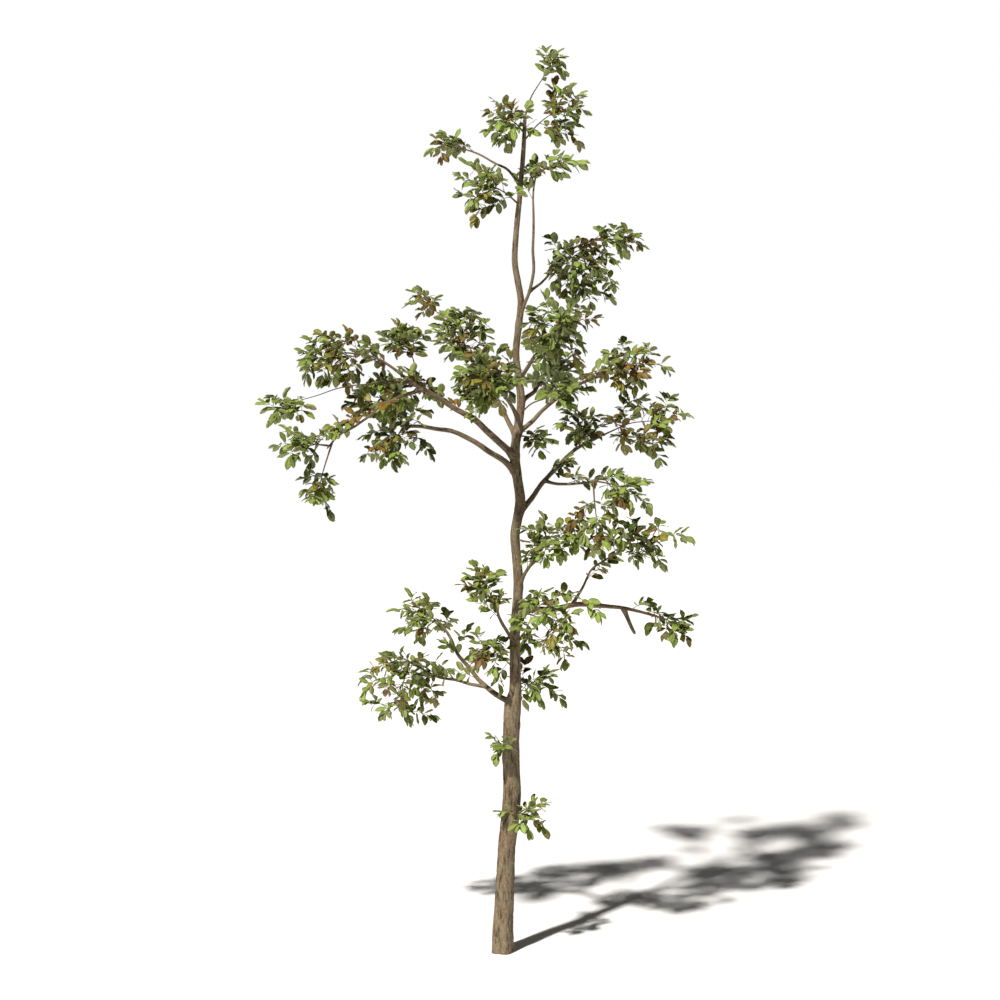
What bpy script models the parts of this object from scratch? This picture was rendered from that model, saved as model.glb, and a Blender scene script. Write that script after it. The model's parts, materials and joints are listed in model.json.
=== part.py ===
# Velvet bushwillow: a young, open-grown tree about 7 m tall, rooted in level ground.
# The trunk, each main bough and each mass of foliage is one closed solid.
# Metres throughout: x to the tree's right, y to its back, z up from the flat cut at ground level.

import math
import random
from collections import namedtuple

import bmesh
import bpy
from mathutils import Matrix, Vector
from mathutils.bvhtree import BVHTree

# Trunk
TRUNK_SIDES = 10
SHARP_ANGLE = math.radians(50)
RINGS_PER_STATION = 2
FLARE_HEIGHT = 0.30
FLARE_REACH = 0.016
FLARE_LOBES = 5
LOBE_DEPTH = 0.3

# Boughs
BOUGH_STEP = 0.15
BOUGH_CROOK = 0.014
LEAST_CROOK = 0.4
CURVE_STEPS = 6
THICK_BOUGH = 0.034
THICK_BOUGH_SIDES = 8
THIN_BOUGH_SIDES = 6
BOUGH_SINK = 0.03

# Stems and twigs
STEM_STEP = 0.16
STEM_CROOK = 0.012
STEM_LIFT = 0.05
STEM_SHORT_OF_EDGE = 0.165
STEM_THICK = 0.013
STEM_TIP = 0.006
PLACES_ON_STEM = 20
FIRST_TWIG_PLACE = 3
TWIG_THICK = 0.0075
TWIG_TIP = 0.0045
TWIG_SLANT = 0.5
MOST_SLANT = 0.5
SHORTEST_TWIG = 0.04
TWIG_SHORT_OF_EDGE = 0.11
NEAREST_TWIG_END = 0.3
TWIG_CHECKS = 20

# Leaves
LEAF_LENGTH = 0.205
SHORTEST_LEAF = 0.52
LEAF_WIDTH = 0.098
LEAF_THICKNESS = 0.0045
LEAF_FOLD = 0.16
LEAF_DROOP = 0.10
LEAF_ROLL = 0.9
TIP_LEAF_TURN = 0.6
SIDE_LEAF_TURNS = (0.7, 1.4)
LEAF_TILTS = (-0.8, 0.3)
LEAF_SPACING = 0.05
ROOT_SPACING = 0.018
ROOT_SINK = 0.008
LEAVES_FOR_SPREAD = 82
FEWEST_LEAVES = 6
LEAVES_PER_TWIG = 3
LEAF_TRIES = 48
LEAF_PLACES = (1.0, 0.85, 0.7, 0.55, 0.4)
OUTWARD_PULL = 0.12
LENGTH_PULL = 0.25

# A leaf's outline and its blade, as shares of its length and of its half width
LEAF_OUTLINE = [(0.3, 0), (0.3, 0.6), (0.5, 1), (0.75, 0.5), (1, 0), (0.75, -0.5), (0.5, -1), (0.3, -0.6)]
BLADE = [(0.25, 0), (0.5, 1), (1, 0), (0.5, -1)]
BLADE_HALVES = [(0, 1, 2), (0, 2, 3)]

# Room between neighbours
GAP = 0.0004
LEAF_CLEARANCE = 0.006
TWIG_CLEARANCE = 0.008
SPACE_MARGIN = 0.05
LOWEST_LEAF = 0.15
MERGE = 0.00001

# Trunk stations: height, lean to the right, lean to the back, diameter
TRUNK = [
    (0, 0.000, 0.000, 0.158),
    (0.20, 0.000, 0.000, 0.156),
    (0.42, 0.012, 0.004, 0.146),
    (0.80, 0.028, 0.014, 0.136),
    (1.20, 0.068, 0.010, 0.136),
    (1.60, 0.060, -0.006, 0.128),
    (1.90, 0.074, -0.014, 0.126),
    (2.06, 0.096, -0.010, 0.092),
    (2.45, 0.092, 0.012, 0.080),
    (2.86, 0.119, 0.016, 0.075),
    (3.24, 0.093, 0.000, 0.073),
    (3.50, 0.133, -0.014, 0.076),
    (3.86, 0.091, -0.004, 0.070),
    (4.26, 0.138, 0.014, 0.061),
    (4.63, 0.099, 0.010, 0.052),
    (5.02, 0.137, -0.006, 0.051),
    (5.34, 0.089, -0.010, 0.046),
    (5.82, 0.127, 0.006, 0.039),
    (6.17, 0.155, 0.004, 0.034),
    (6.44, 0.167, 0.000, 0.026),
]

# A bough leaves its parent at a height on the trunk, or at a share of its parent bough's length,
# and ends at its tip. Bow lifts it, and sway moves it aside, at one and two thirds of its length.
# Thick is its diameter at its start and at its tip.
Bough = namedtuple("Bough", "name parent at tip bow sway thick")
BOUGHS = [Bough(*row) for row in [
    ("low_left_bough", "trunk", 1.94, (-0.50, 0.74, 2.48), (-0.09, -0.10), (0, 0.02), (0.046, 0.019)),
    ("low_left_spur", "low_left_bough", 0.32, (-0.77, 0.70, 2.18),
     (-0.03, -0.04), (0.02, 0), (0.027, 0.014)),
    ("low_front_bough", "trunk", 2.36, (-0.14, -0.40, 2.83), (0.03, 0.04), (0.02, 0), (0.030, 0.015)),
    ("right_low_bough", "trunk", 2.64, (1.22, 0.35, 2.57), (0.06, 0.08), (0, 0.02), (0.052, 0.020)),
    ("right_low_riser", "right_low_bough", 0.38, (0.82, 0.36, 3.03),
     (0.02, 0.05), (0.02, 0), (0.024, 0.014)),
    ("right_knee_bough", "trunk", 2.80, (0.31, -0.21, 3.17), (0.02, 0.02), (0.02, -0.02), (0.030, 0.020)),
    ("right_main_bough", "trunk", 3.41, (0.74, 0.30, 3.98), (0.04, 0.06), (0, 0.03), (0.044, 0.021)),
    ("right_main_branch", "right_main_bough", 0.36, (0.72, -0.25, 3.67),
     (-0.03, -0.04), (0, 0.02), (0.025, 0.014)),
    ("right_upper_bough", "trunk", 4.02, (0.90, 0.38, 4.54), (0.04, 0.04), (-0.02, 0.02), (0.036, 0.017)),
    ("right_rising_bough", "trunk", 4.42, (0.42, -0.42, 4.76), (0.02, 0.02), (0.02, 0), (0.034, 0.019)),
    ("left_low_bough", "trunk", 3.71, (-0.77, -0.36, 4.08), (0.10, 0.10), (0, 0.02), (0.048, 0.024)),
    ("left_main_bough", "trunk", 3.84, (-0.71, -0.50, 4.42), (0.04, 0.04), (-0.02, 0), (0.054, 0.030)),
    ("left_high_limb", "left_main_bough", 0.97, (-1.04, -0.60, 4.62),
     (0.01, 0.02), (0, 0.01), (0.025, 0.014)),
    ("left_falling_limb", "left_main_bough", 0.86, (-1.27, -1.00, 3.93),
     (0.06, 0.05), (0, -0.02), (0.027, 0.013)),
    ("back_left_bough", "trunk", 3.99, (-0.30, 0.72, 4.64), (0.05, 0.06), (-0.02, 0), (0.042, 0.021)),
    ("front_bough", "trunk", 4.12, (-0.05, -0.60, 4.37), (0.04, 0.05), (0.03, 0.02), (0.034, 0.019)),
    ("back_bough", "trunk", 4.26, (0.39, 0.80, 4.39), (0.05, 0.05), (0.02, 0.03), (0.036, 0.018)),
    ("second_stem", "trunk", 4.82, (0.26, -0.02, 6.02), (-0.08, -0.02), (0.02, 0.02), (0.030, 0.012)),
    ("second_stem_branch", "second_stem", 0.24, (0.52, 0.42, 5.45), (-0.03, 0), (0, 0.02), (0.022, 0.014)),
    ("top_left_bough", "trunk", 5.90, (-0.33, 0.27, 6.22), (0.05, 0.03), (0, 0.02), (0.022, 0.012)),
]]

# A mass of foliage keeps to an ellipsoid round its centre. Its stem starts from the trunk at a height,
# or near a bough's tip at a share of the bough's length.
Mass = namedtuple("Mass", "name carrier at centre half tint")
MASSES = [Mass(*row) for row in [
    ("crown_tip", "trunk", 6.42, (0.38, 0.08, 6.86), (0.13, 0.14, 0.14), "fresh"),
    ("crown_right", "trunk", 6.24, (0.48, 0.20, 6.50), (0.16, 0.28, 0.31), "tinted"),
    ("crown_right_low", "second_stem", 1.00, (0.43, -0.10, 6.06), (0.24, 0.22, 0.11), "fresh"),
    ("crown_left_high", "trunk", 6.30, (0.04, -0.14, 6.38), (0.21, 0.22, 0.22), "fresh"),
    ("crown_left_tip", "top_left_bough", 1.00, (-0.46, 0.31, 6.24), (0.13, 0.14, 0.13), "tinted"),
    ("crown_left_low", "trunk", 5.76, (-0.14, -0.12, 5.88), (0.25, 0.24, 0.26), "tinted"),
    ("upper_right_arm", "second_stem_branch", 1.00, (0.93, 0.60, 5.54), (0.27, 0.22, 0.12), "tinted"),
    ("upper_right_body", "second_stem_branch", 0.90, (0.62, 0.33, 5.26), (0.29, 0.28, 0.25), "dark"),
    ("upper_right_low", "right_rising_bough", 1.00, (0.41, -0.48, 4.80), (0.28, 0.28, 0.28), "dark"),
    ("left_high_tip", "back_left_bough", 0.90, (-0.64, 0.84, 5.07), (0.14, 0.16, 0.15), "fresh"),
    ("left_high", "back_left_bough", 1.00, (-0.33, 0.80, 4.81), (0.24, 0.30, 0.22), "dark"),
    ("left_dense", "front_bough", 1.00, (-0.13, -0.76, 4.43), (0.24, 0.28, 0.23), "tinted"),
    ("left_mid_high", "left_main_bough", 0.93, (-0.74, -0.44, 4.73), (0.21, 0.20, 0.13), "fresh"),
    ("left_tip_high", "left_high_limb", 1.00, (-1.26, -0.66, 4.59), (0.29, 0.26, 0.22), "tinted"),
    ("left_broad", "left_main_bough", 0.94, (-0.85, -0.38, 4.30), (0.36, 0.28, 0.17), "tinted"),
    ("left_far", "left_main_bough", 1.00, (-1.58, -0.98, 4.23), (0.20, 0.18, 0.13), "fresh"),
    ("left_low_tip", "left_falling_limb", 1.00, (-1.46, -1.14, 3.96), (0.21, 0.20, 0.18), "fresh"),
    ("left_hanging", "left_falling_limb", 0.94, (-1.33, -1.00, 3.64), (0.14, 0.17, 0.21), "fresh"),
    ("left_low_hang", "left_low_bough", 1.00, (-0.82, -0.34, 3.93), (0.40, 0.24, 0.15), "dark"),
    ("right_upper_tip", "right_upper_bough", 1.00, (1.02, 0.42, 4.54), (0.27, 0.28, 0.24), "tinted"),
    ("right_inner", "trunk", 4.16, (0.48, -0.46, 4.34), (0.22, 0.24, 0.12), "fresh"),
    ("right_main", "right_main_bough", 0.93, (0.60, 0.26, 4.08), (0.22, 0.26, 0.16), "dark"),
    ("right_outer", "right_main_bough", 1.00, (1.15, 0.46, 4.08), (0.36, 0.30, 0.26), "tinted"),
    ("right_branch", "right_main_branch", 1.00, (0.93, -0.32, 3.59), (0.21, 0.24, 0.19), "fresh"),
    ("right_branch_fall", "right_main_branch", 0.92, (0.70, -0.28, 3.30), (0.25, 0.22, 0.24), "tinted"),
    ("right_riser", "right_low_riser", 1.00, (1.12, 0.42, 3.15), (0.33, 0.26, 0.19), "dark"),
    ("right_low_tip", "right_low_bough", 1.00, (1.36, 0.36, 2.49), (0.25, 0.18, 0.12), "fresh"),
    ("right_knee", "right_knee_bough", 1.00, (0.40, -0.32, 3.22), (0.31, 0.24, 0.20), "fresh"),
    ("centre_hanging", "trunk", 4.00, (0.29, -0.24, 3.98), (0.13, 0.15, 0.14), "tinted"),
    ("front_low_right", "trunk", 2.60, (0.38, -0.46, 2.61), (0.33, 0.32, 0.27), "tinted"),
    ("low_right", "trunk", 2.08, (0.27, 0.08, 2.08), (0.20, 0.20, 0.25), "fresh"),
    ("low_left_high", "low_left_bough", 1.00, (-0.67, 0.84, 2.53), (0.23, 0.24, 0.21), "fresh"),
    ("low_left_low", "low_left_spur", 1.00, (-0.80, 0.72, 1.96), (0.39, 0.32, 0.27), "tinted"),
    ("low_front_tip", "low_front_bough", 1.00, (-0.13, -0.42, 2.93), (0.15, 0.20, 0.18), "fresh"),
    ("low_side", "trunk", 2.20, (-0.09, -0.12, 2.34), (0.16, 0.22, 0.30), "fresh"),
    ("trunk_sprouts", "trunk", 1.60, (0, -0.12, 1.63), (0.17, 0.16, 0.13), "fresh"),
    ("lowest_sprouts", "trunk", 1.08, (0.17, -0.07, 1.08), (0.24, 0.20, 0.20), "fresh"),
    ("back_mass", "back_bough", 1.00, (0.46, 0.98, 4.48), (0.26, 0.28, 0.24), "dark"),
]]

# The broken stub that ends under the low right bough
STUB = Bough("right_low_stub", "right_low_bough", 0.74, (1.03, 0.22, 2.45), (0, 0), (0, 0), (0.034, 0.026))

# Colour, roughness
FINISHES = {
    "trunk_bark": ((0.27, 0.21, 0.125), 0.90),
    "bough_bark": ((0.25, 0.19, 0.125), 0.88),
    "leaves_fresh": ((0.11, 0.22, 0.045), 0.55),
    "leaves_dark": ((0.045, 0.10, 0.022), 0.55),
    "leaves_tinted": ((0.17, 0.16, 0.035), 0.58),
}

UP = Vector((0, 0, 1))


def clear_scene():
    for thing in list(bpy.data.objects):
        bpy.data.objects.remove(thing, do_unlink=True)


def make_collection(name):
    group = bpy.data.collections.new(name)
    bpy.context.scene.collection.children.link(group)
    return group


def make_finishes():
    made = {}
    for name, (colour, roughness) in FINISHES.items():
        finish = bpy.data.materials.new(name)
        finish.use_nodes = True
        shader = finish.node_tree.nodes["Principled BSDF"]
        shader.inputs["Base Color"].default_value = (*colour, 1.0)
        shader.inputs["Roughness"].default_value = roughness
        shader.inputs["Metallic"].default_value = 0.0
        finish.diffuse_color = (*colour, 1.0)
        made[name] = finish
    return made


def smooth_line(points, steps):
    """Points of a smooth curve through the given ones, with so many steps from each to the next."""
    ends = [points[0] * 2 - points[1]] + points + [points[-1] * 2 - points[-2]]
    line = []
    for a, b, c, d in zip(ends, ends[1:], ends[2:], ends[3:]):
        for k in range(steps):
            t = k / steps
            bend = a * 2 - b * 5 + c * 4 - d
            twist = b * 3 - a - c * 3 + d
            line.append((b * 2 + (c - a) * t + bend * t**2 + twist * t**3) / 2)
    line.append(points[-1])
    return line


def along(line, share):
    """The point at a share of a line's length."""
    lengths = [(b - a).length for a, b in zip(line, line[1:])]
    left = share * sum(lengths)
    for a, b, length in zip(line, line[1:], lengths):
        if left <= length:
            return a.lerp(b, left / length)
        left -= length
    return line[-1].copy()


def spaced(line, step):
    """The line again, with even steps of about the given size."""
    length = sum((b - a).length for a, b in zip(line, line[1:]))
    count = max(2, round(length / step))
    return [along(line, k / count) for k in range(count + 1)]


def crooked(line, amount, rng):
    """The line with its inner points set off to one side and the other, as the shoots once grew."""
    bent = [line[0]]
    for before, point, after in zip(line, line[1:], line[2:]):
        ahead = (after - before).normalized()
        side = ahead.orthogonal()
        side.rotate(Matrix.Rotation(rng.uniform(0, math.tau), 3, ahead))
        bent.append(point + side * amount * rng.uniform(LEAST_CROOK, 1.0))
    bent.append(line[-1])
    return bent


def bowed(start, tip, bow, sway, step):
    """A line from start to tip, lifted by bow and moved aside by sway at one and two thirds of it."""
    aside = (tip - start).cross(UP).normalized()
    upward = aside.cross(tip - start).normalized()
    points = [start]
    for share, lift, shift in zip((1 / 3, 2 / 3), bow, sway):
        points.append(start.lerp(tip, share) + upward * lift + aside * shift)
    points.append(tip)
    return spaced(smooth_line(points, CURVE_STEPS), step)


def tapered(line, thick, thin):
    """A radius for each point of the line, from half of thick to half of thin."""
    last = len(line) - 1
    return [(thick + (thin - thick) * k / last) / 2 for k in range(last + 1)]


def trunk_line():
    line = smooth_line([Vector((x, y, z)) for z, x, y, _ in TRUNK], RINGS_PER_STATION)
    girths = smooth_line([Vector((d, 0, z)) for z, _, _, d in TRUNK], RINGS_PER_STATION)
    return line, [g.x / 2 for g in girths]


def at_height(line, height):
    for a, b in zip(line, line[1:]):
        if b.z >= height:
            return a.lerp(b, (height - a.z) / (b.z - a.z))
    return line[-1].copy()


def start_on(spines, parent, at):
    """The point on a limb's axis where something leaves it."""
    line = spines[parent][0]
    if parent == "trunk":
        return at_height(line, at)
    length = sum((b - a).length for a, b in zip(line, line[1:]))
    return along(line, min(at, 1 - BOUGH_SINK / length))


def limb_spines():
    """Each limb's axis and radii, the trunk's first."""
    spines = {"trunk": trunk_line()}
    for bough in BOUGHS + [STUB]:
        rng = random.Random(bough.name)
        start = start_on(spines, bough.parent, bough.at)
        line = bowed(start, Vector(bough.tip), bough.bow, bough.sway, BOUGH_STEP)
        line = crooked(line, BOUGH_CROOK, rng)
        spines[bough.name] = (line, tapered(line, *bough.thick))
    return spines


def link(name, mesh, group):
    made = bpy.data.objects.new(name, mesh)
    group.objects.link(made)
    return made


def three_sided_section(group):
    """The triangle of radius 1 that thin stems and twigs follow along their curves."""
    curve = bpy.data.curves.new("three_sided_section", "CURVE")
    curve.dimensions = "2D"
    spline = curve.splines.new("POLY")
    spline.points.add(2)
    spline.use_cyclic_u = True
    for k, point in enumerate(spline.points):
        turn = -math.tau * k / 3
        point.co = (math.cos(turn), math.sin(turn), 0, 1)
    section = bpy.data.objects.new("three_sided_section", curve)
    section.hide_render = True
    section.display_type = "WIRE"
    group.objects.link(section)
    return section


def tube_curve(name, line, radii, group, sides=8, section=None):
    """A round tube of so many sides, or one that follows a section, as a curve with filled ends."""
    curve = bpy.data.curves.new(name, "CURVE")
    curve.dimensions = "3D"
    curve.use_fill_caps = True
    if section:
        curve.bevel_mode = "OBJECT"
        curve.bevel_object = section
    else:
        curve.bevel_depth = 1.0
        curve.bevel_resolution = sides // 2 - 2
    spline = curve.splines.new("POLY")
    spline.points.add(len(line) - 1)
    for point, place, radius in zip(spline.points, line, radii):
        point.co = (*place, 1)
        point.radius = radius
    made = bpy.data.objects.new(name, curve)
    group.objects.link(made)
    return made


def curves_to_meshes(curves, group):
    """Mesh objects in place of the curve objects, with their end caps welded on."""
    bpy.context.view_layer.update()
    depsgraph = bpy.context.evaluated_depsgraph_get()
    meshes = [bpy.data.meshes.new_from_object(curve.evaluated_get(depsgraph)) for curve in curves]
    made = []
    for curve, mesh in zip(curves, meshes):
        shape = bmesh.new()
        shape.from_mesh(mesh)
        bmesh.ops.remove_doubles(shape, verts=shape.verts, dist=MERGE)
        bmesh.ops.recalc_face_normals(shape, faces=shape.faces)
        shape.to_mesh(mesh)
        shape.free()
        name = curve.name
        matrix = curve.matrix_world.copy()
        bpy.data.objects.remove(curve)
        made.append(link(name, mesh, group))
        made[-1].matrix_world = matrix
    return made


def flare_roots(trunk):
    """The foot of the trunk spreads in low rounded lobes down to the ground."""
    for vertex in trunk.data.vertices:
        height = vertex.co.z
        if height < MERGE:
            vertex.co.z = 0.0
        if height < FLARE_HEIGHT:
            turn = math.atan2(vertex.co.y, vertex.co.x)
            lobes = 1 - LOBE_DEPTH + LOBE_DEPTH * math.cos(FLARE_LOBES * turn)
            swell = FLARE_REACH * (1 - height / FLARE_HEIGHT) ** 2 * lobes
            vertex.co.x += swell * math.cos(turn)
            vertex.co.y += swell * math.sin(turn)


def clearance_of(piece, group):
    """A copy of a limb that stands out by the gap, to cut what meets the limb."""
    cutter = bpy.data.objects.new(piece.name + "_clearance", piece.data.copy())
    cutter.hide_render = True
    cutter.display_type = "WIRE"
    grow = cutter.modifiers.new("gap", "DISPLACE")
    grow.strength = GAP
    grow.mid_level = 0.0
    group.objects.link(cutter)
    return cutter


def apply_modifiers(piece):
    """The object's evaluated mesh in place of its mesh and modifiers."""
    depsgraph = bpy.context.evaluated_depsgraph_get()
    mesh = bpy.data.meshes.new_from_object(piece.evaluated_get(depsgraph))
    piece.modifiers.clear()
    piece.data = mesh


def cut_by(piece, cutter):
    cut = piece.modifiers.new("meets_" + cutter.name, "BOOLEAN")
    cut.operation = "DIFFERENCE"
    cut.object = cutter


def keep_main_body(piece):
    """Drops loose scraps and fills sealed hollows, by keeping only the outer shell of the main body."""
    shape = bmesh.new()
    shape.from_mesh(piece.data)
    left = set(shape.faces)
    shells = []
    while left:
        reached = [left.pop()]
        shell = set(reached)
        while reached:
            for edge in reached.pop().edges:
                for face in edge.link_faces:
                    if face not in shell:
                        shell.add(face)
                        left.discard(face)
                        reached.append(face)
        shells.append(shell)
    main = max(shells, key=len)
    scraps = [face for shell in shells if shell is not main for face in shell]
    bmesh.ops.delete(shape, geom=scraps, context="FACES")
    shape.to_mesh(piece.data)
    shape.free()


def make_trunk(spines, group, finish):
    line, radii = spines["trunk"]
    trunk = curves_to_meshes([tube_curve("trunk", line, radii, group, TRUNK_SIDES)], group)[0]
    flare_roots(trunk)
    trunk.data.materials.append(finish)
    trunk.data.shade_smooth()
    trunk.data.set_sharp_from_angle(angle=SHARP_ANGLE)
    return trunk


def make_boughs(spines, group, cutters, finish):
    """Every bough, cut to fit against its parent, and the clearance of each limb."""
    curves = []
    for bough in BOUGHS + [STUB]:
        sides = THICK_BOUGH_SIDES if bough.thick[0] > THICK_BOUGH else THIN_BOUGH_SIDES
        curves.append(tube_curve(bough.name, *spines[bough.name], group, sides))
    pieces = {piece.name: piece for piece in curves_to_meshes(curves, group)}
    stub = pieces.pop(STUB.name)
    fuse = pieces[STUB.parent].modifiers.new("broken_stub", "BOOLEAN")
    fuse.operation = "UNION"
    fuse.object = stub
    apply_modifiers(pieces[STUB.parent])
    bpy.data.objects.remove(stub)
    clearances = {"trunk": clearance_of(group.objects["trunk"], cutters)}
    for bough in BOUGHS:
        piece = pieces[bough.name]
        cut_by(piece, clearances[bough.parent])
        apply_modifiers(piece)
        keep_main_body(piece)
        piece.data.materials.clear()
        piece.data.materials.append(finish)
        piece.data.shade_smooth()
        piece.data.set_sharp_from_angle(angle=SHARP_ANGLE)
        clearances[bough.name] = clearance_of(piece, cutters)
    return clearances


def stretch(mass, point):
    """How far out a point lies in a mass's space: 0 at its centre and 1 at its surface."""
    return math.sqrt(sum(((p - c) / h) ** 2 for p, c, h in zip(point, mass.centre, mass.half)))


def in_own_space(mass, neighbours, point):
    own = stretch(mass, point)
    return own <= 1.0 and all(own + SPACE_MARGIN < stretch(other, point) for other in neighbours)


def nearest_distance(point, a, b):
    run = b - a
    share = max(0.0, min(1.0, (point - a).dot(run) / run.length_squared))
    return (point - a - run * share).length


def clear_of(obstacles, point, room):
    return all(nearest_distance(point, a, b) > radius + room for a, b, radius in obstacles)


def segments(line, radii):
    return [(a, b, max(r, s)) for a, b, r, s in zip(line, line[1:], radii, radii[1:])]


def stem_line(mass, spines):
    """The mass's stem, from its carrier through its centre and out most of the way to its far side."""
    rng = random.Random(mass.name)
    start = start_on(spines, mass.carrier, mass.at)
    centre = Vector(mass.centre)
    ahead = (centre - start).normalized()
    reach = 1 / math.sqrt(sum((a / h) ** 2 for a, h in zip(ahead, mass.half)))
    tip = centre + ahead * max(0.0, reach - STEM_SHORT_OF_EDGE)
    lift = STEM_LIFT * (tip - start).length
    line = bowed(start, tip, (lift, lift), (0.0, 0.0), STEM_STEP)
    return crooked(line, STEM_CROOK, rng)


def leaf_count(mass):
    """More leaves for a mass that spreads over more."""
    width, depth, height = mass.half
    spread = width * depth + depth * height + height * width
    return max(FEWEST_LEAVES, round(LEAVES_FOR_SPREAD * spread))


def spread_targets(mass, count):
    """Points spread evenly through the mass's space, where its twigs end."""
    golden = math.pi * (3 - math.sqrt(5))
    centre = Vector(mass.centre)
    targets = []
    for k in range(count):
        height = 1 - 2 * (k + 0.5) / count
        turn = golden * k
        flat = math.sqrt(1 - height * height)
        ahead = Vector((flat * math.cos(turn), flat * math.sin(turn), height))
        reach = 1 / math.sqrt(sum((a / h) ** 2 for a, h in zip(ahead, mass.half)))
        targets.append(centre + ahead * max(NEAREST_TWIG_END * reach, reach - TWIG_SHORT_OF_EDGE))
    return targets


def twig_lines(mass, stem, fits):
    """Twigs from the stem to the spread targets, each leaving the stem a little before its target."""
    lines = []
    places = [along(stem, k / PLACES_ON_STEM) for k in range(FIRST_TWIG_PLACE, PLACES_ON_STEM)]
    for target in spread_targets(mass, round(leaf_count(mass) / LEAVES_PER_TWIG)):
        nearest = min(places, key=lambda place: (place - target).length)
        slant = TWIG_SLANT * (target - nearest).length / (nearest - stem[0]).length
        before = nearest.lerp(stem[0], min(MOST_SLANT, slant))
        root = min(places, key=lambda place: (place - before).length)
        checks = [root.lerp(target, (k + 1) / TWIG_CHECKS) for k in range(TWIG_CHECKS)]
        if (target - root).length > SHORTEST_TWIG and all(fits(check, TWIG_CLEARANCE) for check in checks):
            lines.append([root, target])
    return lines


def leaf_height(share, side):
    """How far a leaf stands off its flat plane, at a share of its length and of its half width."""
    return abs(side) * LEAF_FOLD * LEAF_WIDTH / LEAF_LENGTH - max(0.0, 2 * share - 1) * LEAF_DROOP


def leaf_point(share, side, length):
    half = LEAF_WIDTH / 2 * length / LEAF_LENGTH
    return Vector((share * length, side * half, leaf_height(share, side) * length))


def leaf_mesh(length):
    """A leaf of eight faces: a flattened octahedron from root to tip, folded along its midrib."""
    shape = bmesh.new()
    bmesh.ops.create_uvsphere(shape, u_segments=4, v_segments=2, radius=1.0)
    for vertex in shape.verts:
        x, y, z = vertex.co
        vertex.co = leaf_point((x + 1) / 2, y, length) + UP * z * LEAF_THICKNESS / 2
    mesh = bpy.data.meshes.new("leaf")
    shape.to_mesh(mesh)
    shape.free()
    return mesh


def leaf_matrix(root, ahead, roll):
    """Turns a leaf so that it points ahead from its root, its upper side up but rolled."""
    upward = ahead.cross(UP).normalized().cross(ahead)
    frame = Matrix((ahead, upward.cross(ahead), upward)).transposed()
    turn = Matrix.Rotation(roll, 3, "X")
    return Matrix.Translation(root) @ (frame @ turn).to_4x4()


Leaf = namedtuple("Leaf", "matrix length root middle outward blade")


def surface_tree(piece):
    vertices = [vertex.co for vertex in piece.data.vertices]
    return BVHTree.FromPolygons(vertices, [face.vertices for face in piece.data.polygons])


def leaf_choices(mass, lines, rng, fits):
    """Leaves that would fit at the tips and along the twigs, each wholly in the mass's own space."""
    choices = []
    for line in lines:
        ahead = (line[-1] - line[-2]).normalized()
        for attempt in range(LEAF_TRIES):
            place = LEAF_PLACES[attempt % len(LEAF_PLACES)]
            if place == 1.0:
                root = line[-1] - ahead * ROOT_SINK
                turn = rng.uniform(-TIP_LEAF_TURN, TIP_LEAF_TURN)
            else:
                root = along(line, place)
                turn = rng.choice((-1, 1)) * rng.uniform(*SIDE_LEAF_TURNS)
            aim = ahead.copy()
            aim.rotate(Matrix.Rotation(turn, 3, "Z"))
            aim.z += rng.uniform(*LEAF_TILTS)
            matrix = leaf_matrix(root, aim.normalized(), rng.uniform(-LEAF_ROLL, LEAF_ROLL))
            length = LEAF_LENGTH * rng.uniform(SHORTEST_LEAF, 1.0)
            if all(fits(matrix @ leaf_point(*spot, length), LEAF_CLEARANCE) for spot in LEAF_OUTLINE):
                middle = matrix @ leaf_point(0.5, 0.0, length)
                outward = stretch(mass, matrix @ leaf_point(1.0, 0.0, length))
                corners = [matrix @ leaf_point(*spot, length) for spot in BLADE]
                blade = BVHTree.FromPolygons(corners, BLADE_HALVES)
                choices.append(Leaf(matrix, length, root, middle, outward, blade))
    return choices


def even_leaves(mass, choices, obstacles):
    """The leaves that fill the mass most evenly, and cross no twig, no limb and no other leaf."""
    taken = []

    def standing(leaf):
        room = min([(leaf.middle - other.middle).length for other in taken] + [LEAF_LENGTH])
        return room + OUTWARD_PULL * leaf.outward + LENGTH_PULL * leaf.length

    while choices and len(taken) < leaf_count(mass):
        best = max(choices, key=standing)
        choices.remove(best)
        if any((best.middle - other.middle).length < LEAF_SPACING for other in taken):
            break
        if any((best.root - other.root).length < ROOT_SPACING for other in taken):
            continue
        if not any(best.blade.overlap(other) for other in obstacles + [leaf.blade for leaf in taken]):
            taken.append(best)
    return taken


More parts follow.
